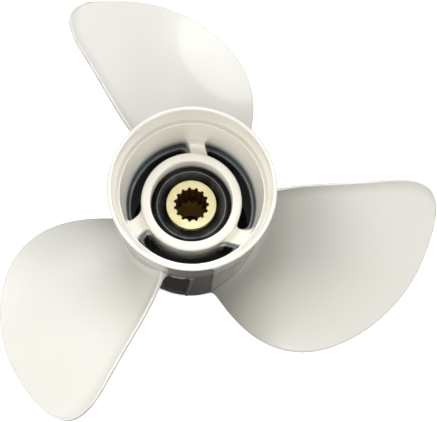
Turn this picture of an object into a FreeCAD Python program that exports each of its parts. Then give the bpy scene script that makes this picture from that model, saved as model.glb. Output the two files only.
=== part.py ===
import FreeCAD, Part
import math
import os
from FreeCAD import Vector

# Three-bladed outboard propeller with exhaust through its hub, in millimetres.
# The axis is Z and +Z points aft. The origin is on the axis, in the plane of the
# hub's front end, so the propeller stands on that end with its blades level.

# Hub barrel, the outer wall of the casting
HUB_LENGTH = 140.0
BARREL_R = 53.2            # outside, a 4-1/4 in class hub
BARREL_STRAIGHT_Z = 106.0  # the outside is a plain cylinder up to here
FRONT_RECESS_R = 48.6      # room for the end of the gearcase
FRONT_RECESS_DEPTH = 12.0
PASSAGE_FRONT_R = 46.6     # outer wall of the exhaust passages at their front end
PASSAGE_REAR_R = 43.6      # the same wall at the ledge, after its casting draft
LEDGE_Z = 86.0             # where the front core and the rear core met
LEDGE_R = 45.6
LEDGE_STEP = 0.8           # height of the slope down to the ledge
MOUTH_Z = 96.0             # the passages' mouths, level with the back of the ribs
MOUTH_R = 47.0
CHAMFER = 0.8

# Flared ring at the rear end
FLARE_START_Z = 118.0
FLARE_START_R = 53.4
FLARE_R = 56.2
FLARE_LIP_R = 1.4
BELL_SLOPE = 0.35          # share of the flare that is straight, the rest curves out
BELL_STEPS = 8
CUP_STEP_Z = 124.5         # turned step inside the ring
CUP_STEP_R = 52.3
CUP_R = 48.9
CUP_FRONT_R = 48.5         # where the cup meets the barrel's inside
CUP_STEP_CHAMFER = 0.6

# Inner tube and the three ribs that carry it
TUBE_FRONT_Z = 12.5
TUBE_REAR_Z = 102.0
TUBE_REAR_R = 35.6
TUBE_FRONT_R = 36.6
TUBE_EDGE_R = 2.4
TUBE_BORE_R = 28.8
TUBE_BORE_REAR_Z = 100.3
TUBE_BORE_CHAMFER = 1.6
TUBE_STOP_R = 26.6         # front lip that stops the rubber
TUBE_STOP_Z = 16.0
RIB_COUNT = 3
RIB_ANGLE = 83.2
RIB_SKEW = 25.0             # the outer end leads round the ring by this slant
RIB_SKEW_R = 41.0           # the slant turns about this distance from the axis
RIB_FRONT_Z = 14.0
RIB_REAR_Z = 95.0
RIB_WIDTH = 12.4
RIB_DEEP_WIDTH = 16.0      # forward of the ledge
RIB_FILLET_R = 3.5
RIB_OUTER_SHIFT = 1.0      # the outer fillet ends this far into the barrel's wall
RIB_OVERRUN = 4.0          # how far the untrimmed rib runs past both walls

# Rubber bush, running in the tube's bore with the clearance below
BUSH_CLEARANCE = 0.05
BUSH_FRONT_Z = 16.3
BUSH_SHOULDER_Z = 87.3
BUSH_BEAD_R = 24.5
BUSH_BEAD_HEIGHT = 2.6
BUSH_BEAD_WIDTH = 5.0
BEAD_STEPS = 8
BUSH_GROOVE_R = 20.6
BUSH_GROOVE_Z = 84.0
BUSH_FRONT_CHAMFER = 2.0

# Brass sleeve with the splines
SLEEVE_R = 18.0
SLEEVE_FRONT_Z = 0.0       # its front face meets the shaft's thrust washer
SLEEVE_REAR_Z = 90.4
SPLINE_FRONT_Z = 51.0
SPLINE_COUNT = 15
SPLINE_MAJOR_R = 12.7
SPLINE_MINOR_R = 11.2
SPLINE_GROOVE_W = 2.7
PILOT_R = 13.0             # plain bore ahead of the splines

# Blades
BLADE_COUNT = 3
TIP_R = 171.6              # 13-1/2 in over the tips
PITCH = 406.0              # 16 in
RAKE = 0.20                # rise per millimetre of radius
FACE_Z = 83.1              # pressure face at the barrel, at the blade's zero angle
CUP_RISE = 1.6             # curl of the trailing edge
CUP_WIDTH = 9.0
ROOT_THICKNESS = 12.5
TIP_THICKNESS = 3.4
THICKNESS_TAPER = 1.2      # how quickly a blade thins from root to tip
SECTION_FULLNESS = 0.8     # how full its sections are between the edges
TRAILING_EDGE = 3.0
LEADING_EDGE = 2.2
EDGE_INSET = 1.5           # length of the rounded nose at either edge
ROOT_FILLET_R = 7.0
ROOT_FILLET_EDGE = 0.35    # share of the fillet left at the two edges
BLADE_BURY = 3.0           # how deep the first section starts inside the barrel
BLADE_FLOOR_Z = 0.5        # the root fillet is trimmed just behind the hub's front end
HELIX = PITCH / (2 * math.pi)

# Outline of a blade in plan as radius and angle: up the trailing edge, round the
# tip and down the leading edge.
OUTLINE = [
    (49.0, 9.0), (75.0, 9.0), (105.0, 7.1), (134.0, 5.9), (156.0, 4.7),
    (167.5, 2.2), (TIP_R, -2.8), (170.2, -9.6), (165.6, -19.6), (158.2, -29.3),
    (147.3, -39.7), (133.0, -49.5), (114.7, -57.1), (87.8, -63.9), (49.0, -71.6),
]
OUTLINE_SAMPLES = 400
BISECTIONS = 40

# Radii of a blade's sections, with the closer steps of the root fillet before them
STATIONS = [62.5, 72.0, 88.0, 106.0, 124.0, 140.0, 152.0, 160.0, 165.5, 169.0, 170.9]
FILLET_STEPS = [0.0, 0.6, 1.8, 3.6]
CHORD_SHARES = [0.0, 0.04, 0.12, 0.25, 0.4, 0.55, 0.7, 0.84, 0.94, 1.0]


def wire(points, closed=True):
    path = [Vector(*p) for p in points]
    if closed:
        path.append(path[0])
    return Part.makePolygon(path)


def revolve(profile):
    """Turn a closed outline of (radius, z) points about the Z axis."""
    face = Part.Face(wire([(r, 0, z) for r, z in profile]))
    return face.revolve(Vector(0, 0, 0), Vector(0, 0, 1), 360)


def cylinder(radius, z0, z1):
    return Part.makeCylinder(radius, z1 - z0, Vector(0, 0, z0))


def arc_points(centre_r, centre_z, radius, start, end, count):
    """Points along an arc in the (radius, z) plane, angles in degrees."""
    step = (end - start) / (count - 1)
    turns = [math.radians(start + step * i) for i in range(count)]
    return [(centre_r + radius * math.cos(a), centre_z + radius * math.sin(a)) for a in turns]


def spin(shape, angle):
    turned = shape.copy()
    turned.rotate(Vector(0, 0, 0), Vector(0, 0, 1), angle)
    return turned


# Outline of the barrel's inside, from the front end to the flared ring
BARREL_INSIDE = [
    (FRONT_RECESS_R + CHAMFER, 0.0),
    (FRONT_RECESS_R, CHAMFER),
    (FRONT_RECESS_R, FRONT_RECESS_DEPTH),
    (PASSAGE_FRONT_R, FRONT_RECESS_DEPTH),
    (PASSAGE_REAR_R, LEDGE_Z - LEDGE_STEP),
    (PASSAGE_REAR_R + LEDGE_STEP, LEDGE_Z),
    (LEDGE_R, LEDGE_Z + LEDGE_STEP / 2),
    (MOUTH_R, MOUTH_Z),
    (CUP_FRONT_R, FLARE_START_Z),
]


def hub_barrel():
    outside = [(BARREL_R, BARREL_STRAIGHT_Z), (BARREL_R, CHAMFER), (BARREL_R - CHAMFER, 0.0)]
    return revolve(BARREL_INSIDE + [(FLARE_START_R, FLARE_START_Z)] + outside)


def diffuser_ring():
    """The flared end: a bell outside, a stepped cup inside and a round lip."""
    lip_z = HUB_LENGTH - FLARE_LIP_R
    lip_r = FLARE_R - FLARE_LIP_R
    rise = lip_z - FLARE_START_Z
    bell = []
    for i in range(BELL_STEPS + 1):
        t = i / BELL_STEPS
        flare = (FLARE_R - FLARE_START_R) * (BELL_SLOPE * t + (1 - BELL_SLOPE) * t * t)
        bell.append((FLARE_START_R + flare, FLARE_START_Z + rise * t))
    lip = arc_points(lip_r, lip_z, FLARE_LIP_R, 20, 180, 9)
    inside = [
        (CUP_STEP_R, CUP_STEP_Z + CUP_STEP_CHAMFER),
        (CUP_STEP_R - CUP_STEP_CHAMFER, CUP_STEP_Z),
        (CUP_R, CUP_STEP_Z),
        (CUP_FRONT_R, FLARE_START_Z),
    ]
    return revolve(bell + lip + inside)


def tube_outside():
    rear = arc_points(TUBE_REAR_R - TUBE_EDGE_R, TUBE_REAR_Z - TUBE_EDGE_R, TUBE_EDGE_R, 0, 90, 7)
    return [(TUBE_FRONT_R - CHAMFER, TUBE_FRONT_Z), (TUBE_FRONT_R, TUBE_FRONT_Z + CHAMFER)] + rear


def inner_hub_tube():
    bore = [
        (TUBE_BORE_R + TUBE_BORE_CHAMFER, TUBE_REAR_Z),
        (TUBE_BORE_R, TUBE_BORE_REAR_Z),
        (TUBE_BORE_R, TUBE_STOP_Z),
        (TUBE_STOP_R, TUBE_STOP_Z),
        (TUBE_STOP_R, TUBE_FRONT_Z),
    ]
    return revolve(tube_outside() + bore)


def passage_space():
    """The ring of space between the tube and the barrel, which the ribs cross."""
    outside = [p for p in BARREL_INSIDE if p[1] >= FRONT_RECESS_DEPTH and p[0] < FRONT_RECESS_R]
    ring = revolve([(TUBE_STOP_R, FRONT_RECESS_DEPTH)] + outside + [(TUBE_STOP_R, FLARE_START_Z)])
    core = revolve([(TUBE_BORE_R / 2, TUBE_FRONT_Z)] + tube_outside() + [(TUBE_BORE_R / 2, TUBE_REAR_Z)])
    return ring.cut(core)


def rib_outline(width):
    """Plan of a rib along +X: a strip that widens where it meets both walls."""
    half = width / 2
    wide = half + RIB_FILLET_R
    inner = TUBE_REAR_R + RIB_FILLET_R
    outer = PASSAGE_REAR_R - RIB_FILLET_R + RIB_OUTER_SHIFT
    turns = [math.radians(t) for t in (0, 20, 40, 60, 75, 90)]
    near = [(inner - RIB_FILLET_R * math.sin(a), wide - RIB_FILLET_R * math.cos(a)) for a in reversed(turns)]
    far = [(outer + RIB_FILLET_R * math.sin(a), wide - RIB_FILLET_R * math.cos(a)) for a in turns]
    side = [(TUBE_REAR_R - RIB_OVERRUN, wide)] + near + far + [(MOUTH_R + RIB_OVERRUN, wide)]
    return side + [(x, -y) for x, y in reversed(side)]


def rib_prism(width, z0, z1):
    face = Part.Face(wire([(x, y, z0) for x, y in rib_outline(width)]))
    web = face.extrude(Vector(0, 0, z1 - z0))
    web.rotate(Vector(RIB_SKEW_R, 0, 0), Vector(0, 0, 1), RIB_SKEW)
    return web


def rib(angle):
    rear = rib_prism(RIB_WIDTH, LEDGE_Z, RIB_REAR_Z)
    deep = rib_prism(RIB_DEEP_WIDTH, RIB_FRONT_Z, LEDGE_Z)
    web = rear.fuse(deep).common(passage_space())
    return spin(web, angle)


def rubber_bush():
    radius = TUBE_BORE_R - BUSH_CLEARANCE
    bead = []
    for i in range(BEAD_STEPS + 1):
        t = 2 * i / BEAD_STEPS - 1
        height = BUSH_BEAD_HEIGHT * math.cos(t * math.pi / 2) ** 2
        bead.append((BUSH_BEAD_R - t * BUSH_BEAD_WIDTH / 2, BUSH_SHOULDER_Z + height))
    profile = [
        (SLEEVE_R, BUSH_FRONT_Z + BUSH_FRONT_CHAMFER),
        (SLEEVE_R + BUSH_FRONT_CHAMFER, BUSH_FRONT_Z),
        (radius - CHAMFER, BUSH_FRONT_Z),
        (radius, BUSH_FRONT_Z + CHAMFER),
        (radius, BUSH_SHOULDER_Z - CHAMFER),
        (radius - CHAMFER, BUSH_SHOULDER_Z),
    ]
    groove = [(BUSH_GROOVE_R, BUSH_GROOVE_Z + CHAMFER), (BUSH_GROOVE_R - CHAMFER, BUSH_GROOVE_Z)]
    return revolve(profile + bead + groove + [(SLEEVE_R, BUSH_GROOVE_Z)])


def spline_bore():
    """Solid of the splined hole: the minor bore with a round-bottomed groove per tooth."""
    length = HUB_LENGTH - SPLINE_FRONT_Z
    tool = Part.makeCylinder(SPLINE_MINOR_R, length, Vector(0, 0, SPLINE_FRONT_Z))
    half = SPLINE_GROOVE_W / 2
    straight = SPLINE_MAJOR_R - half
    groove = Part.makeBox(straight, SPLINE_GROOVE_W, length, Vector(0, -half, SPLINE_FRONT_Z))
    groove = groove.fuse(Part.makeCylinder(half, length, Vector(straight, 0, SPLINE_FRONT_Z)))
    grooves = [spin(groove, 360 / SPLINE_COUNT * i) for i in range(SPLINE_COUNT)]
    return tool.multiFuse(grooves).removeSplitter()


def splined_sleeve():
    body = revolve([
        (PILOT_R, SLEEVE_FRONT_Z),
        (SLEEVE_R - CHAMFER, SLEEVE_FRONT_Z),
        (SLEEVE_R, SLEEVE_FRONT_Z + CHAMFER),
        (SLEEVE_R, SLEEVE_REAR_Z - CHAMFER),
        (SLEEVE_R - CHAMFER, SLEEVE_REAR_Z),
        (SPLINE_MINOR_R / 2, SLEEVE_REAR_Z),
        (SPLINE_MINOR_R / 2, SPLINE_FRONT_Z),
        (PILOT_R, SPLINE_FRONT_Z),
    ])
    return body.cut(spline_bore())


def outline_curve():
    """Plan outline of a blade as one smooth curve, with its tip's parameter."""
    points = []
    for radius, angle in OUTLINE:
        a = math.radians(angle)
        points.append(Vector(radius * math.cos(a), radius * math.sin(a), 0))
    curve = Part.BSplineCurve()
    curve.interpolate(points)
    first = curve.FirstParameter
    last = curve.LastParameter
    samples = [first + (last - first) * i / OUTLINE_SAMPLES for i in range(OUTLINE_SAMPLES + 1)]
    tip = max(samples, key=lambda t: curve.value(t).Length)
    return curve, tip


def edge_angle(curve, start, tip, radius):
    """Angle of the outline at a radius, between a root parameter and the tip."""
    low = start
    high = tip
    for _ in range(BISECTIONS):
        middle = (low + high) / 2
        if curve.value(middle).Length < radius:
            low = middle
        else:
            high = middle
    point = curve.value(low)
    return math.atan2(point.y, point.x)


def blade_thickness(radius):
    share = (radius - BARREL_R) / (TIP_R - BARREL_R)
    taper = (1 - min(max(share, 0), 1)) ** THICKNESS_TAPER
    return TIP_THICKNESS + (ROOT_THICKNESS - TIP_THICKNESS) * taper


def fillet_offset(radius):
    depth = max(radius - BARREL_R, 0)
    if depth >= ROOT_FILLET_R:
        return 0.0
    return ROOT_FILLET_R - math.sqrt(ROOT_FILLET_R ** 2 - (ROOT_FILLET_R - depth) ** 2)


def section_wire(curve, tip, radius):
    """Section of a blade on the cylinder of one radius, as face, nose, back and nose."""
    shape_radius = max(radius, BARREL_R)
    trailing = edge_angle(curve, curve.FirstParameter, tip, shape_radius)
    leading = edge_angle(curve, curve.LastParameter, tip, shape_radius)
    lead = math.atan(HELIX / shape_radius)
    unroll = math.hypot(shape_radius, HELIX)
    chord = (trailing - leading) * unroll
    fillet = fillet_offset(shape_radius)
    thickness = blade_thickness(shape_radius)
    grow = fillet * ROOT_FILLET_EDGE

    def place(along, height):
        """Point at a distance along the chord from the trailing edge, off the face."""
        cup = CUP_RISE * max(1 - max(along, 0) / CUP_WIDTH, 0) ** 2
        rise = height + cup
        angle = trailing - along / unroll - rise * math.sin(lead) / shape_radius
        on_face = FACE_Z + HELIX * (trailing - along / unroll) + RAKE * (shape_radius - BARREL_R)
        z = on_face + rise * math.cos(lead)
        return Vector(radius * math.cos(angle), radius * math.sin(angle), z)

    def heights(share):
        bulge = math.sin(math.pi * share)
        edge = TRAILING_EDGE + (LEADING_EDGE - TRAILING_EDGE) * share
        edge = min(edge, thickness)
        pad = fillet * (ROOT_FILLET_EDGE + (1 - ROOT_FILLET_EDGE) * bulge ** 0.5)
        return pad, -(edge + (thickness - edge) * bulge ** SECTION_FULLNESS + pad)

    inset = min(EDGE_INSET, chord / 10)
    span = chord - 2 * inset + 2 * grow
    alongs = [inset - grow + span * s for s in CHORD_SHARES]
    face = [place(a, heights(s)[0]) for a, s in zip(alongs, CHORD_SHARES)]
    back = [place(a, heights(s)[1]) for a, s in zip(alongs, CHORD_SHARES)]
    middle_te = sum(heights(0.0)) / 2
    middle_le = sum(heights(1.0)) / 2
    nose_te = place(-grow, middle_te)
    nose_le = place(chord + grow, middle_le)

    def curve_through(points):
        spline = Part.BSplineCurve()
        spline.interpolate(points)
        return spline.toShape()

    edges = [
        curve_through(face),
        curve_through([face[-1], nose_le, back[-1]]),
        curve_through(list(reversed(back))),
        curve_through([back[0], nose_te, face[0]]),
    ]
    return Part.Wire(edges)


def blade_solid():
    curve, tip = outline_curve()
    radii = [BARREL_R - BLADE_BURY] + [BARREL_R + step for step in FILLET_STEPS] + STATIONS
    sections = [section_wire(curve, tip, r) for r in radii]
    sides = Part.makeLoft(sections, False, False)
    caps = [Part.makeFilledFace(section.Edges) for section in (sections[0], sections[-1])]
    shell = Part.makeShell(sides.Faces + caps)
    shell.sewShape()
    blank = Part.Solid(shell).cut(cylinder(BARREL_R, -HUB_LENGTH, 2 * HUB_LENGTH))
    reach = 2 * TIP_R
    above = Part.makeBox(2 * reach, 2 * reach, HUB_LENGTH, Vector(-reach, -reach, BLADE_FLOOR_Z))
    return blank.common(above)


def save(shape, name):
    solids = shape.Solids
    print(name, "solids", len(solids), "valid", shape.isValid(), "volume %.0f" % shape.Volume)
    solid = solids[0] if len(solids) == 1 else shape
    solid.exportStep("parts/" + name + ".step")


os.makedirs("parts", exist_ok=True)
save(hub_barrel(), "hub_barrel")
save(diffuser_ring(), "diffuser_ring")
save(inner_hub_tube(), "inner_hub_tube")
for number in range(RIB_COUNT):
    save(rib(RIB_ANGLE + 360 / RIB_COUNT * number), "rib_%d" % (number + 1))
blade = blade_solid()
for number in range(BLADE_COUNT):
    save(spin(blade, 360 / BLADE_COUNT * number), "blade_%d" % (number + 1))
save(rubber_bush(), "rubber_bush")
save(splined_sleeve(), "splined_sleeve")
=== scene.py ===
# %% [markdown]
# # An outboard propeller in gloss paint
# A boat propeller of this kind is one aluminium casting: three blades on a hollow hub,
# with an inner tube held by three ribs. The engine's exhaust leaves between the tube and
# the hub. A rubber bush in the tube carries a splined brass sleeve for the shaft.
#
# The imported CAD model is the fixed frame. Its boxes give the main sizes below, so the
# pieces made here land where the tested parts are. The other sizes are the part's own,
# named where they are first needed, in millimetres.

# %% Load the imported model
import math

import bmesh
import bpy
import numpy as np
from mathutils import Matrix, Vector


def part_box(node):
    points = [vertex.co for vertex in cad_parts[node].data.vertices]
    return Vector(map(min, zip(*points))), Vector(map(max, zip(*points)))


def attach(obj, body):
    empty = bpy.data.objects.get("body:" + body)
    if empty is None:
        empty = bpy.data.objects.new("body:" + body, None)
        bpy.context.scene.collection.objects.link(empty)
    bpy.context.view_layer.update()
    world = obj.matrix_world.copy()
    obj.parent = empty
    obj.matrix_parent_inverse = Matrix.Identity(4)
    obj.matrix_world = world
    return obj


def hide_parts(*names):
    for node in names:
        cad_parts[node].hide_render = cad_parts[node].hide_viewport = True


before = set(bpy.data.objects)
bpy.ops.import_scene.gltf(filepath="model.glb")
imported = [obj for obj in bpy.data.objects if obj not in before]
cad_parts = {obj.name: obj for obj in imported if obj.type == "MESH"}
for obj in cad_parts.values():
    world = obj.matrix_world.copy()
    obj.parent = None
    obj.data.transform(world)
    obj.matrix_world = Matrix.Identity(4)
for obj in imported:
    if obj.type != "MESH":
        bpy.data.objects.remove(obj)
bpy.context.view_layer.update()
MM = 0.001


def span(node, axis):
    """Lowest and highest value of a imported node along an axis, in millimetres."""
    low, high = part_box(node)
    return low[axis] / MM, high[axis] / MM


BARREL_SWELL = 0.2  # the barrel is this much wider where the flare begins
HUB_LENGTH = span("diffuser_ring", 2)[1]
RIM_R = span("diffuser_ring", 0)[1]
BARREL_R = span("hub_barrel", 0)[1] - BARREL_SWELL
TUBE_Z = span("inner_hub_tube", 2)
print("hub", round(HUB_LENGTH, 1), "mm long,", round(2 * RIM_R, 1), "mm over the rim")

# %% [markdown]
# ## Turning profiles into meshes
# Round pieces are turned on a lathe, so each one is a profile of radius and height spun
# about the axis. Blender's Screw modifier or Spin operator could do this. Building the
# rings of points in numpy is chosen because the same helper then also skins the blades
# and ribs, whose rings aren't round.


# %% Skin rings of points into a closed mesh
def skin(name, rings, ends="capped"):
    """Joins equal rings of points with quads. Ends are capped, or joined to each other."""
    rings = np.asarray(rings, float)
    count, size, _ = rings.shape
    index = np.arange(count * size).reshape(count, size)
    if ends == "joined":
        index = np.vstack([index, index[:1]])
    here, there = index[:-1], index[1:]
    quads = np.stack([here, np.roll(here, -1, 1), np.roll(there, -1, 1), there], -1)
    faces = quads.reshape(-1, 4).tolist()
    if ends == "capped":
        faces.append(index[0, ::-1].tolist())
        faces.append(index[-1].tolist())
    mesh = bpy.data.meshes.new(name)
    mesh.from_pydata((rings.reshape(-1, 3) * MM).tolist(), [], faces)
    mesh.validate()
    mesh.shade_smooth()
    piece = bpy.data.objects.new(name, mesh)
    bpy.context.scene.collection.objects.link(piece)
    return piece


def point_outward(piece):
    """Makes every face look out of its solid."""
    work = bmesh.new()
    work.from_mesh(piece.data)
    bmesh.ops.recalc_face_normals(work, faces=work.faces)
    work.to_mesh(piece.data)
    work.free()


def sharpen(piece, angle=32):
    """Keeps real corners crisp while curved faces stay smooth."""
    piece.data.set_sharp_from_angle(angle=math.radians(angle))


# %% [markdown]
# ## Rounded corners
# A casting has no sharp corner: the pattern is rounded so that the metal flows, and paint
# rounds it further. Each profile is written as corner points with a radius of their own,
# and the first helper swaps every corner for an arc. A Bevel modifier would round all
# corners alike, and here the lip, the tube's edge and the machined step all differ.
#
# The second helper divides long straight runs, because a tall thin face shades badly and
# has no points that could be moved. The third spins the finished profile.


# %% Round, divide and turn a profile
def rounded(corners, steps=8):
    """Closed profile of (radius, z, corner radius) as a smooth list of points."""
    out = []
    total = len(corners)
    for i, (x, z, r) in enumerate(corners):
        here = np.array([x, z], float)
        before = np.array(corners[i - 1][:2]) - here
        after = np.array(corners[(i + 1) % total][:2]) - here
        if r <= 0:
            out.append(here)
            continue
        to_before, to_after = np.linalg.norm(before), np.linalg.norm(after)
        a, b = before / to_before, after / to_after
        half = math.acos(max(-1, min(1, float(a @ b)))) / 2
        reach = min(r / math.tan(half), to_before / 2.01, to_after / 2.01)
        r = reach * math.tan(half)
        middle = here + (a + b) / np.linalg.norm(a + b) * r / math.sin(half)
        start, end = here + a * reach - middle, here + b * reach - middle
        turn = math.atan2(start[0] * end[1] - start[1] * end[0], float(start @ end))
        for k in range(steps + 1):
            t = turn * k / steps
            c, s = math.cos(t), math.sin(t)
            spoke = np.array([c * start[0] - s * start[1], s * start[0] + c * start[1]])
            out.append(middle + spoke)
    return np.array(out)


def refine(profile, longest):
    """Divides long straight runs of a closed profile, so that they shade evenly."""
    out = []
    for a, b in zip(profile, np.roll(profile, -1, 0)):
        pieces = max(1, int(np.linalg.norm(b - a) / longest))
        out += [a + (b - a) * k / pieces for k in range(pieces)]
    return np.array(out)


def turned(name, profile, segments, shape=None):
    """A closed profile spun about Z. shape may move the points, given radius, z and angle."""
    angle = np.linspace(0, 2 * math.pi, segments, endpoint=False)[:, None]
    radius = np.repeat(profile[None, :, 0], segments, 0)
    z = np.repeat(profile[None, :, 1], segments, 0)
    if shape:
        radius, z = shape(radius, z, angle)
    rings = np.stack([radius * np.cos(angle), radius * np.sin(angle), z], -1)
    piece = skin(name, rings, ends="joined")
    point_outward(piece)
    sharpen(piece)
    return piece


# %% [markdown]
# ## The hub barrel
# The barrel is the outer wall of the casting. Outside it is nearly a cylinder. Inside, a
# core from each end of the mould met at a ledge, and the wall leans a little either side
# of it so that the cores could be drawn. Between the blades the mould's loose pieces left
# shallow steps, which catch the light as thin lines.
#
# The steps are real relief in the mesh: the wall's points are moved in where the loose
# piece sat lower. A bump texture would vanish along the silhouette.

# %% Marks of the mould on the barrel
BLADES = 3
GAP_ANGLE = 360 / BLADES

# Heights are in millimetres, angles in degrees from the blade before the gap
POCKET_SPAN, POCKET_DEPTH = (6.0, 40.0), 2.0
POCKET_TOP, POCKET_MIDDLE = 89.5, 20.0
TOP_SAG, TOP_CURVE = 0.10, 1.25         # its top edge falls away from its middle
POCKET_END, END_LEAN, END_Z = 28.5, 0.045, 60.0  # its end leans about this height
RIDGE_HEIGHT, RIDGE_WIDTH, RIDGE_OUT = 0.8, 0.8, 0.9  # it runs just outside the pocket
STEP_HEIGHT, STEP_ANGLE, STEP_BLEND = 0.4, 45.4, 0.7
STEP_LEAN, STEP_Z = 0.01, 100.0
STEP_END, STEP_FADE = 53.0, 6.0
MM_PER_DEGREE = 0.93                    # along the barrel's outside


def smooth_step(x):
    """0 up to 0, 1 from 1, smooth between."""
    x = np.clip(x, 0, 1)
    return x * x * (3 - 2 * x)


def mould_steps(radius, z, angle):
    """The pocket, the ridge and the step that loose pieces of the mould left in each gap."""
    degrees = np.mod(np.degrees(angle), GAP_ANGLE) * np.ones_like(radius)
    top = POCKET_TOP - TOP_SAG * np.abs(degrees - POCKET_MIDDLE) ** TOP_CURVE
    end = POCKET_END + END_LEAN * (z - END_Z)
    inward = np.minimum(top - z, (end - degrees) * MM_PER_DEGREE)
    in_span = (degrees > POCKET_SPAN[0]) & (degrees < POCKET_SPAN[1])
    pocket = np.where(in_span, smooth_step(inward), 0)
    ridge = np.where(in_span, np.exp(-((inward + RIDGE_OUT) / RIDGE_WIDTH) ** 2), 0)
    rise = smooth_step((degrees - STEP_ANGLE - STEP_LEAN * (STEP_Z - z)) / STEP_BLEND)
    step = rise * smooth_step((STEP_END - degrees) / STEP_FADE)
    relief = RIDGE_HEIGHT * ridge + STEP_HEIGHT * step - POCKET_DEPTH * pocket
    outside = radius > BARREL_R - 1.0
    return radius + np.where(outside, relief, 0), z


print("gaps", BLADES, "each of", GAP_ANGLE, "degrees")

# %% [markdown]
# ### Turning the barrel
# The profile runs up the outside, across the joint with the flared ring, and down the
# inside past the mouth, the ledge and the recess in the front end. Its straight runs are
# divided, because the marks above move its points and need enough of them.

# %% Profile of the barrel
FRONT_RECESS_R, FRONT_RECESS_Z = 48.6, 12.0
LEDGE_Z, LEDGE_R, DEEP_R, DEEP_FRONT_R = 86.0, 45.6, 43.6, 46.6
MOUTH_Z, MOUTH_R = 96.0, 47.0
JOIN_Z, JOIN_R, JOIN_INNER_R = span("diffuser_ring", 2)[0], 53.4, 48.5
SWELL_START = JOIN_Z - 14       # the outside is a plain cylinder up to here
LEDGE_SLOPE = 0.6               # height of the slope below the ledge
ROUND_STEPS = 480
BARREL_GRAIN, GRAIN = 1.7, 1.6  # straight runs are divided into about this length

barrel_profile = refine(rounded([
    (BARREL_R, 0.0, 0.9),
    (BARREL_R, SWELL_START, 30),
    (JOIN_R, JOIN_Z, 0),
    (JOIN_INNER_R, JOIN_Z, 0),
    (MOUTH_R, MOUTH_Z, 4),
    (LEDGE_R, LEDGE_Z, 0.7),
    (DEEP_R, LEDGE_Z - LEDGE_SLOPE, 0.9),
    (DEEP_FRONT_R, FRONT_RECESS_Z, 0.8),
    (FRONT_RECESS_R, FRONT_RECESS_Z, 0.6),
    (FRONT_RECESS_R, 0.0, 0.8),
]), BARREL_GRAIN)
barrel = turned("hub_barrel_casting", barrel_profile, ROUND_STEPS, mould_steps)
print("barrel", len(barrel.data.vertices), "points")

# %% [markdown]
# ## The flared ring
# The rear end opens into a bell that keeps exhaust gas away from the blades. Its lip is
# round, and a cup has been turned inside it, which leaves a flat ledge. It carries on from
# the barrel with the same slope, so the joint between the two pieces can't be seen.

# %% Profile of the flared ring
LIP_R = 1.4
BELL_STRAIGHT = 0.35            # share of the flare that is straight, the rest curves out
CUP_Z, CUP_FALL = 124.5, 0.4    # the ledge slopes from this much above to as much below
CUP_STEP_R, CUP_R = 52.3, 48.9


def bell(t):
    """Outside radius of the flare, from the barrel (0) to the lip (1)."""
    return JOIN_R + (RIM_R - JOIN_R) * (BELL_STRAIGHT * t + (1 - BELL_STRAIGHT) * t * t)


lip_z = HUB_LENGTH - LIP_R
flare = [(bell(t), JOIN_Z + (lip_z - JOIN_Z) * t) for t in np.linspace(0, 1, 15)]
lip_turns = np.radians(np.linspace(20, 180, 16))
lip = [(RIM_R - LIP_R + LIP_R * math.cos(a), lip_z + LIP_R * math.sin(a)) for a in lip_turns]
cup = rounded([
    (RIM_R - 2 * LIP_R, lip_z, 0),
    (CUP_STEP_R, CUP_Z + CUP_FALL, 1.1),
    (CUP_R, CUP_Z - CUP_FALL, 0.4),
    (JOIN_INNER_R, JOIN_Z, 0),
])
ring_profile = refine(np.vstack([flare, lip, cup]), GRAIN)
ring = turned("diffuser_ring_casting", ring_profile, ROUND_STEPS)
print("ring", len(ring.data.vertices), "points")

# %% [markdown]
# ## The inner tube
# The tube in the middle takes the rubber bush. Its rear end is a flat ring with a broad
# rounded edge, and its bore runs forward to a small lip that stops the rubber.

# %% Profile of the inner tube
TUBE_R, TUBE_FRONT_R, TUBE_BORE_R = 35.6, 36.6, 28.8
TUBE_LIP_R, TUBE_LIP_Z = 26.6, 16.0
TUBE_STEPS = 360
BORE_MOUTH, BORE_MOUTH_DEPTH = 0.5, 4.0  # the bore widens a little at its rear end

tube_front, tube_rear = TUBE_Z
tube_profile = refine(rounded([
    (TUBE_FRONT_R, tube_front, 1.0),
    (TUBE_R, tube_rear, 2.6),
    (TUBE_BORE_R + BORE_MOUTH, tube_rear, 1.1),
    (TUBE_BORE_R, tube_rear - BORE_MOUTH_DEPTH, 0.5),
    (TUBE_BORE_R, TUBE_LIP_Z, 0.3),
    (TUBE_LIP_R, TUBE_LIP_Z, 0.3),
    (TUBE_LIP_R, tube_front, 0.8),
]), GRAIN)
tube = turned("inner_tube_casting", tube_profile, TUBE_STEPS)
print("tube", len(tube.data.vertices), "points")

# %% [markdown]
# ## The ribs
# Three ribs cross the ring of space between tube and barrel. Each one widens and rises
# where it meets the walls, in the fillet that every casting needs there, and at the barrel
# it runs up into the wall in a deep cove. A box with a boolean union would leave a hard
# corner, so a rib is skinned from closed sections that swell by a quarter circle as they
# come near either wall.


# %% Section of a rib
RIBS = 3
RIB_WIDTH, RIB_REAR_Z, RIB_FRONT_Z = 12.4, 95.0, 14.0
RIB_TOP_ROUND = 1.4
RIB_LEDGE, RIB_LEDGE_DROP = 1.9, 1.2  # forward of the ledge it is wider by this on each side
LEDGE_STEP = 0.8                      # how far the wall slopes down to the ledge
RIB_FLOOR_TAPER = 1.5                 # its front edge closes in by this a step


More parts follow.
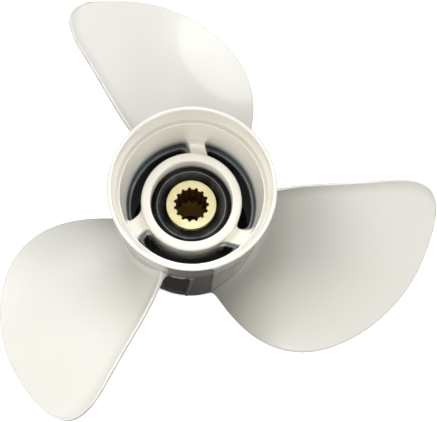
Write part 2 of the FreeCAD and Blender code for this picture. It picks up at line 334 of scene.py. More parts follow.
def rib_section(rise, flare_out):
    """Half of a rib's section, as (distance to the side, z), from the top's middle down."""
    half = RIB_WIDTH / 2 + flare_out
    wide = half + RIB_LEDGE
    top = RIB_REAR_Z + rise
    turns = np.radians(np.linspace(80, 0, 8))
    flat = [((half - RIB_TOP_ROUND) * k / 10, top) for k in range(11)]
    edge = [(half - RIB_TOP_ROUND * (1 - math.cos(a)), top - RIB_TOP_ROUND * (1 - math.sin(a)))
            for a in turns]
    step = []
    for t in np.linspace(0, 1, 9):
        drop = RIB_LEDGE_DROP * math.sin(t * math.pi / 2) ** 0.5
        step.append((half + RIB_LEDGE * t, LEDGE_Z + RIB_LEDGE_DROP - drop))
    side = [(wide, z) for z in np.linspace(LEDGE_Z - LEDGE_STEP, RIB_FRONT_Z, 24)]
    floor = [(wide - RIB_FLOOR_TAPER * k, RIB_FRONT_Z - 0.01 * k) for k in range(1, 4)]
    return flat + edge + step + side + floor


def wall_radius(z):
    """Inside of the barrel at a height."""
    heights = [FRONT_RECESS_Z, LEDGE_Z - LEDGE_STEP, LEDGE_Z + LEDGE_STEP / 2, MOUTH_Z, JOIN_Z]
    return np.interp(z, heights, [DEEP_FRONT_R, DEEP_R, LEDGE_R, MOUTH_R, JOIN_INNER_R])


def tube_radius(z):
    """Outside of the tube at a height."""
    return np.interp(z, TUBE_Z, [TUBE_FRONT_R, TUBE_R])


print("rib section", len(rib_section(0, 0)), "points on each side")

# %% [markdown]
# ### Skinning the rib
# Seen from behind, a rib doesn't point straight out from the axis: its outer end leads
# round the ring. The sections are closest together near both walls, where the fillets
# curve most, and the first and last are buried in the walls so that no gap can show.

# %% Skin a rib from sections that swell into both walls
RIB_ANGLE, RIB_SKEW = 83.2, 6.4  # where it stands, and how far its outer end leads, in degrees
SKEW_PIVOT = 0.45                # share of the way across that stays where it is
RIB_FILLET, RIB_COVE = 3.6, 8.5
RIB_BURY = 0.3                   # how deep its end sections are buried in the walls


def quarter_fillet(depth, radius):
    """How far a fillet stands off at a distance from the wall that it joins."""
    near = np.clip(radius - depth, 0, radius)
    return radius - np.sqrt(radius ** 2 - near ** 2)


def rib(name, degrees):
    """A rib from the tube to the barrel, leaning round so that its outer end leads."""
    gap = MOUTH_R - TUBE_R
    eased = gap / 2 * (1 - np.cos(np.linspace(0, math.pi / 2, 15)))
    across = np.concatenate([[-RIB_BURY], eased, gap - eased[-2::-1], [gap + RIB_BURY]])
    rings = []
    for d in across:
        near_tube, near_wall = max(d, 0), max(gap - d, 0)
        flare_out = float(quarter_fillet(min(near_tube, near_wall), RIB_FILLET))
        at_tube = quarter_fillet(near_tube, RIB_FILLET)
        rise = float(at_tube + quarter_fillet(near_wall, RIB_COVE))
        half = np.array(rib_section(rise, flare_out))
        side, z = np.concatenate([half, half[:0:-1] * [-1, 1]]).T
        share = d / gap
        radius = tube_radius(z) * (1 - share) + wall_radius(z) * share
        angle = math.radians(degrees + RIB_SKEW * (share - SKEW_PIVOT)) + side / radius
        rings.append(np.stack([radius * np.cos(angle), radius * np.sin(angle), z], -1))
    piece = skin(name, rings)
    point_outward(piece)
    sharpen(piece, 40)
    return piece


ribs = [rib("rib_casting_%d" % (i + 1), RIB_ANGLE + 360 / RIBS * i) for i in range(RIBS)]
print("ribs", len(ribs), "with", len(ribs[0].data.vertices), "points each")

# %% [markdown]
# ## The blades
# A blade's pressure face is close to a true screw surface: it climbs steadily with angle,
# and rakes back with radius. The forward side carries the thickness, thin at both edges
# and thick at the root. The trailing edge curls up into a small cup, and both edges are
# rounded by hand before painting.
#
# Sculpting or a subdivision cage could give a blade, but not one that keeps its pitch. So
# the mesh follows the screw's formula, inside an outline drawn through a few points. The
# distance to the outline sets how the edge rounds off, all the way round the tip.

# %% Screw surface and outline
PITCH, RAKE, FACE_Z = 406.0, 0.20, 83.1
HELIX = PITCH / (2 * math.pi)

# As (radius, angle in degrees): up the trailing edge, round the tip, down the leading edge
OUTLINE = [
    (49.0, 9.0), (75.0, 9.0), (105.0, 7.1), (134.0, 5.9), (156.0, 4.7),
    (167.5, 2.2), (171.6, -2.8), (170.2, -9.6), (165.6, -19.6), (158.2, -29.3),
    (147.3, -39.7), (133.0, -49.5), (114.7, -57.1), (87.8, -63.9), (49.0, -71.6),
]


def spline(points, samples):
    """Natural cubic spline through points, spaced by chord length."""
    points = np.asarray(points, float)
    t = np.concatenate([[0], np.cumsum(np.linalg.norm(np.diff(points, axis=0), axis=1))])
    h = np.diff(t)
    n = len(points)
    slope = np.diff(points, axis=0) / h[:, None]
    system, right = np.eye(n), np.zeros_like(points)
    for i in range(1, n - 1):
        system[i, i - 1:i + 2] = h[i - 1], 2 * (h[i - 1] + h[i]), h[i]
        right[i] = 6 * (slope[i] - slope[i - 1])
    bend = np.linalg.solve(system, right)
    at = np.linspace(0, t[-1], samples)
    k = np.clip(np.searchsorted(t, at, side="right") - 1, 0, n - 2)
    a, b = ((t[k + 1] - at) / h[k])[:, None], ((at - t[k]) / h[k])[:, None]
    square = (h[k] ** 2)[:, None] / 6
    bulge = ((a ** 3 - a) * bend[k] + (b ** 3 - b) * bend[k + 1]) * square
    return a * points[k] + b * points[k + 1] + bulge


turns = np.radians([angle for _, angle in OUTLINE])
corners = np.array([r for r, _ in OUTLINE])[:, None] * np.stack([np.cos(turns), np.sin(turns)], -1)
plan = spline(corners, 1600)
plan_r, plan_angle = np.hypot(*plan.T), np.arctan2(plan[:, 1], plan[:, 0])
tip = int(plan_r.argmax())
TIP_R = float(plan_r[tip])
print("tip radius", round(TIP_R, 1), "mm, so", round(2 * TIP_R), "mm over the tips")


def face_height(r, angle):
    """Height of the pressure face."""
    return FACE_Z + HELIX * angle + RAKE * (r - BARREL_R)


def trailing_angle(r):
    """Angle of the outline's trailing side at a radius."""
    return np.interp(r, plan_r[:tip + 1], plan_angle[:tip + 1])


def leading_angle(r):
    """Angle of its leading side."""
    return np.interp(r, plan_r[:tip - 1:-1], plan_angle[:tip - 1:-1])


# %% [markdown]
# ## Thickness and edges
# A section runs along a cylinder about the axis. Points are packed closely where the edge
# turns, so that the rounding reads as a fine line of light, and more loosely between.
#
# How round the edge is depends on a point's real distance from the outline, not on its
# place along the section. So the rounding keeps its size where the tip cuts across the
# sections at a slant.

# %% Thickness of a blade and where its points go
ROOT_THICK, TIP_THICK, TAPER = 12.5, 3.4, 1.2
TRAILING_EDGE, LEADING_EDGE = 3.4, 2.2
FULLNESS, THICKEN_OVER = 0.8, 14.0   # how full a section is, and how far in it gets there
EDGE_ROUND, EDGE_POWER = 1.1, 2.4    # the power squares the rounding off a little
CUP_RISE, CUP_WIDTH = 1.6, 9.0
ROOT_FILLET, FILLET_AT_EDGE = 7.0, 0.35
TIP_GAP = 0.01                       # the last section stops this short of the tip

edge_steps = EDGE_ROUND * (1 - np.cos(np.linspace(0, math.pi / 2, 8)))
middle = np.linspace(0, 1, 64)[1:-1]
middle = 0.5 * middle + 0.5 * smooth_step(middle)


def blade_stations():
    """Radii of the sections, close together in the root's fillet and towards the tip."""
    root = BARREL_R + np.array([-0.5, 0.0, 0.08, 0.3, 0.7, 1.3, 2.1, 3.1, 4.3, 5.6, 7.0])
    reach = np.sin(np.linspace(0, math.pi / 2, 92))[1:]
    return np.concatenate([root, root[-1] + (TIP_R - TIP_GAP - root[-1]) * reach])


def points_along(chord, grow):
    """Distances along a section, which grows past its chord at both ends in the fillet."""
    nose = np.minimum(edge_steps, (chord / 2 + grow) * edge_steps / edge_steps[-1])
    start, end = nose[-1] - grow, chord + grow - nose[-1]
    return np.concatenate([nose - grow, start + (end - start) * middle, (chord + grow - nose)[::-1]])


edge_line = np.column_stack([plan, face_height(plan_r, plan_angle)])


def distance_to_edge(points, past):
    """Distance from face points to the outline, negative past the edge."""
    out = np.empty(len(points))
    for i, p in enumerate(points):
        out[i] = math.sqrt(((edge_line - p) ** 2).sum(1).min())
    return np.where(past, -out, out)


print("sections", len(blade_stations()), "of", 2 * len(points_along(100.0, 0.0)) - 2, "points")

# %% [markdown]
# ### The two skins
# The rear skin is the pressure face, which does the pushing and is nearly the true screw.
# The forward one carries the thickness, and both swell into the fillet at the root. They
# are worked out as heights over the pressure face, and meet where the edge is rounded.

# %% Offsets of the two skins from the pressure face
def skin_offsets(radius, share, along, inside, fillet):
    """Heights of the rear and the forward skin over the pressure face, edge to edge."""
    bulge = np.sin(math.pi * share)
    edge = TRAILING_EDGE + (LEADING_EDGE - TRAILING_EDGE) * smooth_step(share)
    depth = (radius - BARREL_R) / (TIP_R - BARREL_R)
    thick = TIP_THICK + (ROOT_THICK - TIP_THICK) * (1 - depth) ** TAPER
    body = np.maximum(thick - edge, 0) * bulge ** FULLNESS * smooth_step(inside / THICKEN_OVER)
    pad = fillet * (FILLET_AT_EDGE + (1 - FILLET_AT_EDGE) * np.sqrt(np.clip(bulge, 0, 1)))
    turn = 1 - np.clip(inside / EDGE_ROUND, 0, 1)
    full = (1 - turn ** EDGE_POWER) ** (1 / EDGE_POWER)
    curl = CUP_RISE * np.clip(1 - np.maximum(along, 0) / CUP_WIDTH, 0, 1) ** 2
    rear = curl + (pad + edge / 2) * full - edge / 2
    forward = curl - edge / 2 - (body + edge / 2 + pad) * full
    return rear, forward


def blade_section(r):
    """One closed loop of points at a radius: the rear skin, then back along the forward one."""
    radius = max(r, BARREL_R)
    trailing, leading = float(trailing_angle(radius)), float(leading_angle(radius))
    lead = math.atan(HELIX / radius)
    unroll = math.hypot(radius, HELIX)
    chord = (trailing - leading) * unroll
    fillet = float(quarter_fillet(radius - BARREL_R, ROOT_FILLET))
    grow = fillet * FILLET_AT_EDGE
    along = points_along(chord, grow)
    angle = trailing - along / unroll
    height = face_height(radius, angle)
    on_face = np.stack([radius * np.cos(angle), radius * np.sin(angle), height], -1)
    inside = distance_to_edge(on_face, (along < 0) | (along > chord)) + grow
    share = np.clip((along + grow) / (chord + 2 * grow), 0, 1)
    rear, forward = skin_offsets(radius, share, along, inside, fillet)
    loop = []
    for offset, a in ((rear, angle), (forward[-2:0:-1], angle[-2:0:-1])):
        leaned = a - offset * math.sin(lead) / radius
        z = face_height(radius, a) + offset * math.cos(lead)
        loop.append(np.stack([r * np.cos(leaned), r * np.sin(leaned), z], -1))
    return np.concatenate(loop)


sections = np.array([blade_section(r) for r in blade_stations()])
print("blade up to", round(float(sections[:, :, 2].max()), 1), "mm above the front end")

# %% [markdown]
# ### Three blades from one
# All blades come from one pattern, a third of a turn apart, so the sections are worked out
# once and spun. An Array modifier round an empty would do it too, but each blade is a piece
# of its own here.

# %% Three blades
FLOOR_GAP = 0.6  # the root is trimmed just behind the hub's front end


def blade(name, degrees):
    """A blade skinned from the sections, spun about the axis."""
    turn = math.radians(degrees)
    c, s = math.cos(turn), math.sin(turn)
    piece = skin(name, sections @ np.array([[c, s, 0], [-s, c, 0], [0, 0, 1]]))
    point_outward(piece)
    return piece


sections[:, :, 2] = np.maximum(sections[:, :, 2], FLOOR_GAP)
blades = [blade("blade_casting_%d" % (i + 1), GAP_ANGLE * i) for i in range(BLADES)]
print("blades", len(blades), "with", len(blades[0].data.vertices), "points each")

# %% [markdown]
# ## The rubber bush
# The bush is moulded on to the sleeve. A ridge stands up on its rear face, with a long
# slope down to the brass and a shorter one down to the tube. It is turned like the tube,
# and the ridge's own small radius draws the thin ring of light along its crest, which a
# painted highlight in the finish makes brighter.

# %% Profile of the bush
SLEEVE_R = span("splined_sleeve", 0)[1]
BUSH_R = span("rubber_bush", 0)[1]
BUSH_Z = span("rubber_bush", 2)
BUSH_STEPS, BUSH_GRAIN = 320, 0.8
RIDGE_R = 24.6
GROOVE_R, GROOVE_Z = 20.0, 86.4  # the long slope flattens here
BUSH_INNER_Z = 84.0              # where it meets the brass

bush_front, ridge_z = BUSH_Z
bush_profile = refine(rounded([
    (SLEEVE_R, bush_front + 2, 0.3),
    (SLEEVE_R + 2, bush_front, 0.5),
    (BUSH_R, bush_front, 1.2),
    (BUSH_R, ridge_z - 3.0, 0.8),
    (RIDGE_R + 1.6, ridge_z - 0.8, 2.5),
    (RIDGE_R, ridge_z, 0.7),
    (RIDGE_R - 2.2, ridge_z - 1.1, 3.0),
    (GROOVE_R, GROOVE_Z, 3.0),
    (SLEEVE_R + 0.9, BUSH_INNER_Z + 0.4, 0.8),
    (SLEEVE_R, BUSH_INNER_Z, 0.3),
]), BUSH_GRAIN)
bush = turned("rubber_bush_moulding", bush_profile, BUSH_STEPS)
print("bush", len(bush.data.vertices), "points")

# %% [markdown]
# ## The splined sleeve
# Fifteen round-bottomed grooves are broached into the rear half of the bore. The front
# half is plain and wide enough for the shaft's splines to pass. Its rings are skinned as
# for a turned piece, and in the splined stretch the bore's radius follows the tooth form.

# %% Tooth form
SPLINES, MAJOR_R, MINOR_R, GROOVE_W = 15, 12.7, 11.2, 2.7
WALL_START, WALL_BLEND = 0.12, 0.3  # how a groove's wall runs into the minor circle


def spline_radius(angle):
    """Radius of the splined bore: the minor circle with a round groove per tooth."""
    pitch = 2 * math.pi / SPLINES
    off = (np.mod(angle + pitch / 2, pitch) - pitch / 2) * (MAJOR_R + MINOR_R) / 2
    half = GROOVE_W / 2
    bottom = MAJOR_R - half + np.sqrt(np.clip(half ** 2 - off ** 2, 0, None))
    wall = smooth_step((half + WALL_START - np.abs(off)) / WALL_BLEND)
    return MINOR_R + (np.maximum(bottom, MINOR_R) - MINOR_R) * wall


print("splines", SPLINES, "in a bore of", 2 * MINOR_R, "mm")

# %% [markdown]
# ### The sleeve's rings
# The sleeve is a loop of rings: up its outside, across the rear face into the grooves, down
# the bore and out over the front face. Every ring has the same number of points, so that
# round rings and toothed ones join without any other work.

# %% Rings of the sleeve
SLEEVE_FRONT, SLEEVE_REAR = span("splined_sleeve", 2)
SPLINE_Z, PILOT_R = 51.0, 13.0     # the grooves end here, and the plain bore begins
POINTS_PER_TOOTH = 40
SLEEVE_CHAMFER, ROUND_OFF = 0.7, 0.2


def sleeve():
    """The sleeve skinned from rings, round outside and toothed inside."""
    angle = np.linspace(0, 2 * math.pi, SPLINES * POINTS_PER_TOOTH, endpoint=False)
    tooth = spline_radius(angle)
    rings = []

    def ring_at(radius, z):
        radius = radius * np.ones_like(angle)
        across = [radius * np.cos(angle), radius * np.sin(angle), z * np.ones_like(angle)]
        rings.append(np.stack(across, -1))

    face_r = SLEEVE_R - SLEEVE_CHAMFER
    ring_at(face_r, SLEEVE_FRONT)
    ring_at(SLEEVE_R - ROUND_OFF, SLEEVE_FRONT + ROUND_OFF)
    ring_at(SLEEVE_R, SLEEVE_FRONT + SLEEVE_CHAMFER)
    for z in np.linspace(SLEEVE_FRONT + 4, SLEEVE_REAR - 3, 12):
        ring_at(SLEEVE_R, z)
    ring_at(SLEEVE_R, SLEEVE_REAR - SLEEVE_CHAMFER)
    ring_at(SLEEVE_R - ROUND_OFF, SLEEVE_REAR - ROUND_OFF)
    ring_at(face_r, SLEEVE_REAR)
    for t in (0.25, 0.5, 0.75, 0.95, 1):
        ring_at(face_r + (tooth + 0.35 - face_r) * t, SLEEVE_REAR)
    ring_at(tooth + 0.12, SLEEVE_REAR - 0.1)
    ring_at(tooth, SLEEVE_REAR - 0.35)
    for z in np.linspace(SLEEVE_REAR - 2, SPLINE_Z + 0.3, 12):
        ring_at(tooth, z)
    ring_at(tooth + 0.15, SPLINE_Z)
    ring_at(PILOT_R, SPLINE_Z)
    for z in np.linspace(SPLINE_Z - 1, SLEEVE_FRONT + 0.6, 14):
        ring_at(PILOT_R, z)
    ring_at(PILOT_R + 0.2, SLEEVE_FRONT + 0.15)
    ring_at(PILOT_R + 0.6, SLEEVE_FRONT)
    piece = skin("splined_sleeve_brass", rings, ends="joined")
    point_outward(piece)
    sharpen(piece, 40)
    return piece


brass_sleeve = sleeve()
print("sleeve", len(brass_sleeve.data.vertices), "points")

# %% [markdown]
# ## Shader maths as expressions
# A finish is a small calculation on each point of the surface. Blender writes it as
# nodes. This class wraps a socket, so that a line of Python such as depth * 0.5 adds the
# Math node for it, which is easier to read than the wiring.


# %% A socket that can be calculated with
class Value:
    """A socket of a node, or with no socket the tree that nodes are added to."""

    def __init__(self, tree, socket):
        self.tree = tree
        self.socket = socket

    def make(self, kind, settings=None, out=0, **inputs):
        """Adds any node: its type, its settings, then its sockets by name or as i0, i1."""
        node = self.tree.nodes.new(kind)
        for key, setting in (settings or {}).items():
            setattr(node, key, setting)
        for key, given in inputs.items():
            numbered = key[0] == "i" and key[1:].isdigit()
            self.feed(node.inputs[int(key[1:]) if numbered else key.replace("_", " ")], given)
        if isinstance(out, tuple):
            return [Value(self.tree, node.outputs[name]) for name in out]
        return Value(self.tree, node.outputs[out])

    def feed(self, socket, given):
        if isinstance(given, Value):
            self.tree.links.new(given.socket, socket)
        else:
            socket.default_value = given

    def math(self, operation, *terms):
        numbered = {"i%d" % i: term for i, term in enumerate(terms)}
        return self.make("ShaderNodeMath", {"operation": operation}, **numbered)

    def __add__(self, other):
        return self.math("ADD", self, other)

    def __radd__(self, other):
        return self.math("ADD", other, self)

    def __sub__(self, other):
        return self.math("SUBTRACT", self, other)

    def __rsub__(self, other):
        return self.math("SUBTRACT", other, self)

    def __mul__(self, other):
        return self.math("MULTIPLY", self, other)

    def __rmul__(self, other):
        return self.math("MULTIPLY", other, self)

    def step(self, low, high):
        """0 at low, 1 at high, smooth between. low may be the larger one."""
        first, last = min(low, high), max(low, high)
        rise = self.make(
            "ShaderNodeMapRange", {"interpolation_type": "SMOOTHSTEP"},
            Value=self, From_Min=first, From_Max=last)
        return rise if low < high else 1 - rise

    def band(self, rise, fall):
        """1 between two soft edges. Each is a pair: where it is still 0, and where it is 1."""
        return self.step(*rise) * self.step(*fall)

    def colours(self, first, second):
        """Mixes two colours, this value being the share of the second."""
        first, second = (c if isinstance(c, Value) else (*c, 1) for c in (first, second))
        return self.make("ShaderNodeMix", {"data_type": "RGBA"}, out=2, i0=self, i6=first, i7=second)


# %% [markdown]
# ## Where a point is
# Every finish below depends on a point's place on the object: its height, and its distance
# from the axis. Texture coordinates of type Object give that in the part's own frame, so
# a finish needs no unwrapped mesh and stays on the piece when the piece turns.

# %% Start a material and read where a point is
def new_finish(name, **fixed):
    """A material with its shader's constant sockets set, as (material, shader, maker)."""
    material = bpy.data.materials.new(name)
    material.use_nodes = True
    tree = material.node_tree
    shader = tree.nodes["Principled BSDF"]
    for key, value in fixed.items():
        shader.inputs[key.replace("_", " ")].default_value = value
    return material, shader, Value(tree, None)


def place(maker):
    """The point's own place: its position, its height and its distance from the axis."""
    where = maker.make("ShaderNodeTexCoord", out="Object")
    x, y, z = maker.make("ShaderNodeSeparateXYZ", out=("X", "Y", "Z"), i0=where)
    flat = maker.make("ShaderNodeCombineXYZ", X=x, Y=y, Z=0.0)
    away = maker.make("ShaderNodeVectorMath", {"operation": "LENGTH"}, out="Value", i0=flat)
    return where, z * (1 / MM), away * (1 / MM)


def noise(maker, where, scale, detail, rough=0.5):
    """Soft clouds from 0 to 1. scale is how many of them fit in a metre, roughly."""
    return maker.make("ShaderNodeTexNoise", Vector=where, Scale=scale, Detail=detail, Roughness=rough)


# %% [markdown]
# ## Gloss paint
# The casting is sprayed off-white over a dark primer, then clear-coated. Up close the film
# has a faint orange peel and small runs of colour. The gun can't reach down the exhaust
# passages, so there the white thins out through a bluish mist, and the dark primer shows.
#
# A few zones aren't the paint's own, and make up for plain lamps. Painted shade greys the
# coat on the barrel between the blades, most of all in the pocket, on the turned ledge in
# the bell and down the tube's bore. Painted light whitens it in the hub's mouth and keeps the
# white deeper on the tube's wall, and a patchy painted highlight runs along the ledge in the
# passages. Lamps that shade and reach those places would be truer, but are hard to find by
# trial.
#
# Each zone is given by distances from the axis and heights with soft edges, so the finish
# is a chain of mixes from one zone to the next. Painting a texture by hand would do as
# well, but would need an unwrapped mesh.

# %% Colours and zones of the paint
# The third, whiter colour is painted light for the hub's mouth.
WHITE, WARM, MOUTH_PAINTED_LIGHT = (0.90, 0.878, 0.805), (0.885, 0.858, 0.775), (0.985, 0.96, 0.88)
# These three greys are painted shade: on the turned ledge, between the blades, and in the pocket.
CUP_LEDGE_PAINTED_SHADE, GAP_PAINTED_SHADE, POCKET_PAINTED_SHADE = (0.70, 0.67, 0.59), (0.32, 0.31, 0.285), (0.17, 0.162, 0.15)
MIST, SLATE, PRIMER = (0.60, 0.65, 0.69), (0.095, 0.115, 0.130), (0.035, 0.037, 0.040)
# This grey is a patchy painted highlight along the ledge's corner in the passages.
EDGE_HIGHLIGHT_GREY = (0.62, 0.64, 0.64)
GAP_SHADE_SHARE, BORE_SHADE_SHARE, EDGE_HIGHLIGHT_SHARE = 0.65, 0.8, 0.35

# Each zone has a soft edge on either side, as (still outside, fully inside), in millimetres
# The gap and the pocket are zones of painted shade on the barrel between the blades.
GAP_SHADE_R, GAP_SHADE_Z = ((50.4, 50.8), (53.9, 53.45)), ((3.0, 6.0), (106.0, 88.0))
POCKET_SHADE_R = (52.9, 51.9)
# The mouth's zone is painted light.
MOUTH_LIGHT_R, MOUTH_LIGHT_Z = ((46.0, 46.8), (54.0, 53.6)), (94.0, 98.0)
# The turned ledge's zone is painted shade.
CUP_LEDGE_SHADE_R, CUP_LEDGE_SHADE_Z = ((49.2, 49.6), (52.6, 51.6)), ((123.2, 123.8), (126.0, 125.0))
PASSAGE_R, PASSAGE_FRONT = ((34.8, 35.5), (50.0, 48.0)), (8.0, 16.0)
THIN_Z, THINNER_Z, BARE_Z = (92.5, 87.0), (89.5, 83.5), (84.0, 78.0)
# The ledge's zone carries the painted highlight.
EDGE_HIGHLIGHT_R, EDGE_HIGHLIGHT_Z = ((43.2, 43.6), (45.2, 44.7)), ((84.7, 85.2), (86.7, 86.2))
# Down the tube's bore the coat is greyed towards slate, as painted shade.
BORE_R, BORE_Z = (30.0, 29.2), (93.5, 88.5)
OUTER_WALL, OUTER_EARLIER = (43.8, 45.4), 5.0  # on this wall the white ends higher up
# On the tube's wall the white goes deeper, as painted light.
TUBE_WALL, TUBE_PAINTED_LIGHT_DEPTH = (37.8, 37.0), 18.0     # and on the tube it goes deeper
RAGGED = 4.0
print("white ends between", THIN_Z[0], "and", BARE_Z[1], "mm above the front end")


# %% Gloss paint with its zones
def passage_paint(paint, z, away, cloud):
    """The white thinning out in the passages, as (colour, share of bare primer)."""
    # On the tube's wall the fade starts deeper, as painted light.
    shift = away.step(*TUBE_WALL) * TUBE_PAINTED_LIGHT_DEPTH - away.step(*OUTER_WALL) * OUTER_EARLIER
    ragged = z + shift + (cloud - 0.5) * RAGGED
    between = away.band(*PASSAGE_R) * z.step(*PASSAGE_FRONT)
    for edge, colour in ((THIN_Z, MIST), (THINNER_Z, SLATE), (BARE_Z, PRIMER)):
        share = ragged.step(*edge) * between
        paint = share.colours(paint, colour)
    return paint, share


def gloss_paint():
    """Off-white gloss with its zones of painted shade and light, over a faint orange peel."""
    material, shader, make = new_finish("gloss_paint", IOR=1.5, Coat_Weight=0.5, Coat_Roughness=0.04)
    where, z, away = place(make)
    cloud = noise(make, where, 14.0, 2.0)
    speck = noise(make, where, 900.0, 1.0)
    # Painted shade on the barrel between the blades, darkest in the pocket.
    gap = away.band(*GAP_SHADE_R) * z.band(*GAP_SHADE_Z)
    pocket = away.step(*POCKET_SHADE_R) * gap
    # Painted light in the hub's mouth.
    mouth_light = away.band(*MOUTH_LIGHT_R) * z.step(*MOUTH_LIGHT_Z)
    # Painted shade on the turned ledge in the bell.
    cup_ledge_shade = away.band(*CUP_LEDGE_SHADE_R) * z.band(*CUP_LEDGE_SHADE_Z)
    # Painted shade down the tube's bore.
    bore = away.step(*BORE_R) * z.step(*BORE_Z)
    # A patchy painted highlight along the ledge in the passages.
    edge_highlight = away.band(*EDGE_HIGHLIGHT_R) * z.band(*EDGE_HIGHLIGHT_Z) * cloud.step(0.3, 0.6)
    paint = cloud.step(0.35, 0.7).colours(WHITE, WARM)
    for share, colour in ((mouth_light, MOUTH_PAINTED_LIGHT), (cup_ledge_shade, CUP_LEDGE_PAINTED_SHADE), (gap * GAP_SHADE_SHARE, GAP_PAINTED_SHADE),
                          (pocket, POCKET_PAINTED_SHADE), (bore * BORE_SHADE_SHARE, SLATE)):
        paint = share.colours(paint, colour)
    paint, bare = passage_paint(paint, z, away, cloud)
    make.feed(shader.inputs["Base Color"], (edge_highlight * EDGE_HIGHLIGHT_SHARE).colours(paint, EDGE_HIGHLIGHT_GREY))
    make.feed(shader.inputs["Roughness"], 0.2 + speck * 0.06 + bare * 0.3)
    peel = noise(make, where, 420.0, 2.0, 0.4)
    waves = noise(make, where, 45.0, 2.0)
    height = peel * 0.5 + waves * 1.5
    bump = make.make("ShaderNodeBump", Strength=0.12, Distance=0.0002, Height=height)
    make.feed(shader.inputs["Normal"], bump)
    return material


paint = gloss_paint()
print("paint", len(paint.node_tree.nodes), "nodes")

# %% [markdown]
# ## Moulded rubber
# The bush is black rubber, slightly greyed with mould release, with fine rings from the
# turned mould and a few grains of dust. Its ridge's crest is lighter still, as a painted
# highlight. The rings could be modelled, but they are so fine that a bump from the sine of
# the distance to the axis says the same with no mesh.

# %% Rubber
RUBBER_BLACK, CHALK_AND_HIGHLIGHT, DUST = (0.005, 0.005, 0.005), (0.15, 0.15, 0.148), (0.30, 0.29, 0.27)
# The crest's band is a painted highlight.
CREST_HIGHLIGHT_R, CREST_HIGHLIGHT_Z = ((23.9, 24.4), (25.3, 24.8)), (89.0, 89.5)


def moulded_rubber():
    """Satin black with chalky bloom, a painted highlight along the ridge, and grains of dust."""
    material, shader, make = new_finish("moulded_rubber", IOR=1.5, Specular_IOR_Level=0.2)
    where, z, away = place(make)
    bloom = noise(make, where, 60.0, 4.0)
    dust = noise(make, where, 1500.0, 1.0).step(0.70, 0.76)
    # A painted highlight along the ridge's crest, added to the chalky bloom.
    crest_highlight = away.band(*CREST_HIGHLIGHT_R) * z.step(*CREST_HIGHLIGHT_Z)
    chalk_and_highlight = bloom.step(0.4, 0.8) * 0.3 + crest_highlight * (bloom.step(0.3, 0.6) * 0.5 + 0.5)
    grey = chalk_and_highlight.colours(RUBBER_BLACK, CHALK_AND_HIGHLIGHT)
    make.feed(shader.inputs["Base Color"], (dust * 0.6).colours(grey, DUST))
    make.feed(shader.inputs["Roughness"], 0.30 + bloom * 0.2)
    rings = make.math("SINE", away * 9.0)
    bump = make.make("ShaderNodeBump", Strength=0.25, Distance=0.0001, Height=rings * 0.3 + bloom)
    make.feed(shader.inputs["Normal"], bump)
    return material


rubber = moulded_rubber()
print("rubber", len(rubber.node_tree.nodes), "nodes")

# %% [markdown]
# ## Turned brass
# The sleeve's end was faced on a lathe, which leaves very fine rings. Inside, cutting oil
# and heat have browned the bore, and the film makes it less of a mirror. Over the film the
# teeth are darkened as painted shade, and the plain bore forward of them is brightened to
# amber as painted light. An Anisotropic setting could stretch the glints round the face, but
# rings in the bump do it as well and also show up close.

# %% Brass
BRASS, DULL_BRASS = (0.92, 0.84, 0.50), (0.86, 0.77, 0.42)
# The teeth's dark colour holds painted shade, and the plain bore's bright amber painted light.
TOOTH_BROWN_AND_SHADE, PILOT_AMBER_AND_LIGHT = (0.11, 0.042, 0.007), (0.9, 0.56, 0.025)
INSIDE_R, INSIDE_Z, PILOT_Z = (13.6, 13.1), (90.3, 89.9), (51.2, 50.8)


def turned_brass():
    """Bright faced brass outside, browned film inside, with painted shade on the teeth and painted
    light forward of them.
    """
    material, shader, make = new_finish("turned_brass")
    where, z, away = place(make)
    stain = noise(make, where, 180.0, 4.0)
    bright = stain.step(0.3, 0.75).colours(BRASS, DULL_BRASS)
    inside = away.step(*INSIDE_R) * z.step(*INSIDE_Z)
    # Darker teeth as painted shade, brighter amber forward of them as painted light, over the film.
    film_shade_and_light = z.step(*PILOT_Z).colours(TOOTH_BROWN_AND_SHADE, PILOT_AMBER_AND_LIGHT)
    make.feed(shader.inputs["Base Color"], inside.colours(bright, film_shade_and_light))
    make.feed(shader.inputs["Metallic"], 0.6 - inside * 0.35)
    make.feed(shader.inputs["Roughness"], 0.34 + stain * 0.12 + inside * 0.1)
    rings = make.math("SINE", away * 22.0)
    bump = make.make("ShaderNodeBump", Strength=0.2, Distance=0.00006, Height=rings + stain)
    make.feed(shader.inputs["Normal"], bump)
    return material


brass = turned_brass()
print("brass", len(brass.node_tree.nodes), "nodes")

# %% [markdown]
# ## Tie every piece to its body
# The casting is one body. The sleeve and the bush bonded to it are the other, which the
# shaft drives, so the two turn against each other by the rubber's give. Parenting in
# Blender could do this, but the frame's own calls also say which imported node each piece
# stands for.

# %% Finish every piece and tie it to its body
def fit(piece, body, node, material):
    """Gives a piece its finish, and says what it rides on and stands for."""
    piece.data.materials.clear()
    piece.data.materials.append(material)
    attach(piece, body)
    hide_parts(node)


cast_pieces = {"hub_barrel": barrel, "diffuser_ring": ring, "inner_hub_tube": tube}
cast_pieces.update(("rib_%d" % (i + 1), ribs[i]) for i in range(RIBS))
cast_pieces.update(("blade_%d" % (i + 1), blades[i]) for i in range(BLADES))
for node, piece in cast_pieces.items():
    fit(piece, "propeller", node, paint)
fit(bush, "drive_hub", "rubber_bush", rubber)
fit(brass_sleeve, "drive_hub", "splined_sleeve", brass)
print("fitted", len(cast_pieces), "pieces of the casting, the bush and the sleeve")

# %% [markdown]
# ## Studio
# The propeller stands on a plain pale floor. The floor glows faintly, so that it stays
# white right out to its edges, and it neither lights the object nor shows in its gloss.
# Under the hub it is darkened by a painted shadow, and the passages look down
# on it.

# %% Floor
FLOOR_SIZE = 60  # wide enough that a low view never reaches its edge


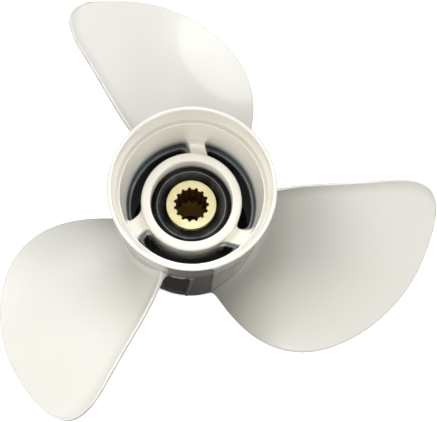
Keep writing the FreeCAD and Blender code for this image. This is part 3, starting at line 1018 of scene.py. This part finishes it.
def floor_sheet():
    """A faintly glowing floor, with a painted shadow where the hub stands on it."""
    bpy.ops.mesh.primitive_plane_add(size=FLOOR_SIZE)
    sheet = bpy.context.object
    sheet.name = "studio_floor"
    material, shader, make = new_finish("studio_floor", Roughness=0.9, Emission_Strength=0.9)
    away = place(make)[2]
    # A painted shadow under the hub.
    painted_shadow = away.step(BARREL_R + 1.0, BARREL_R - 1.0)
    make.feed(shader.inputs["Base Color"], painted_shadow.colours((0.8, 0.8, 0.8), (0.1, 0.1, 0.1)))
    make.feed(shader.inputs["Emission Color"], painted_shadow.colours((1, 1, 1), (0, 0, 0)))
    sheet.data.materials.append(material)
    sheet.visible_diffuse = False
    sheet.visible_glossy = False


floor_sheet()
print("floor", FLOOR_SIZE, "m across")

# %% [markdown]
# ## Lights
# A very large soft light overhead gives most of the brightness. Three softer ones come from
# the left, the right and the far side, and none from the near side, so the front of the
# barrel falls into shade. Two tall narrow lights draw the glints of windows on the gloss,
# and a small one over the hub opens up its mouth. An image of a studio round the scene
# could replace them all, but lamps can be set one at a time.

# %% World and lights
def soft_light(name, height_angle, turn_angle, power, colour, size=0.9, away=1.6, tall=None):
    """A soft light, round unless tall is given, placed by its height and its turn from +X."""
    lamp = bpy.data.lights.new(name, "AREA")
    lamp.shape = "RECTANGLE" if tall else "DISK"
    lamp.energy, lamp.size, lamp.size_y, lamp.color = power, size, tall or size, colour
    light = bpy.data.objects.new(name, lamp)
    bpy.context.scene.collection.objects.link(light)
    up, turn = math.radians(height_angle), math.radians(turn_angle)
    toward = Vector((math.cos(up) * math.cos(turn), math.cos(up) * math.sin(turn), math.sin(up)))
    light.location = toward * away + Vector((0, 0, HUB_LENGTH * MM / 2))
    light.rotation_euler = (-toward).to_track_quat("-Z", "Y").to_euler()
    light.visible_camera = False


def dim_world(strength):
    """An even glow from all round, weak enough to keep the shadows."""
    world = bpy.data.worlds.new("studio")
    bpy.context.scene.world = world
    world.use_nodes = True
    background = world.node_tree.nodes["Background"]
    background.inputs["Color"].default_value = (1, 0.98, 0.95, 1)
    background.inputs["Strength"].default_value = strength


soft_light("ceiling_light", 90, 0, 68.0, (1, 0.99, 0.99), size=9.0)
soft_light("far_light", 45, 90, 9.4, (0.87, 0.91, 1))
soft_light("left_light", 45, 180, 9.2, (1, 0.99, 0.98))
soft_light("right_light", 45, 0, 7.6, (0.98, 0.98, 1))
soft_light("window_right", 30, 20, 0.7, (1, 1, 1), size=0.3, tall=1.0)
soft_light("window_far", 17, 106, 0.8, (1, 1, 1), size=0.3, tall=1.0)
soft_light("hub_fill_light", 67.6, 270, 0.055, (1, 0.98, 0.93), size=0.08, away=0.184)
dim_world(0.035)
print("lights", len(bpy.data.lights))

# %% [markdown]
# ## Camera
# The camera looks down on the rear of the hub from about fifteen degrees off the axis, with
# a slightly long lens. The lens is shifted a little rather than the camera turned, which
# keeps the object's upright lines as they are. The view transform is the plain one, because
# the filmic ones grey a white object.

# %% Camera
def camera():
    """The camera over the hub's rear end."""
    data = bpy.data.cameras.new("camera")
    data.lens = 65.58
    data.shift_x, data.shift_y = 0.0593, -0.0571
    data.clip_end = 20
    eye = bpy.data.objects.new("camera", data)
    bpy.context.scene.collection.objects.link(eye)
    eye.location = (-0.0065, -0.1395, 0.6435)
    eye.rotation_euler = [math.radians(a) for a in (15.48, -0.74, -0.11)]
    bpy.context.scene.camera = eye
    return eye


print("camera", [round(v, 3) for v in camera().location])
bpy.context.scene.view_settings.view_transform = "Standard"
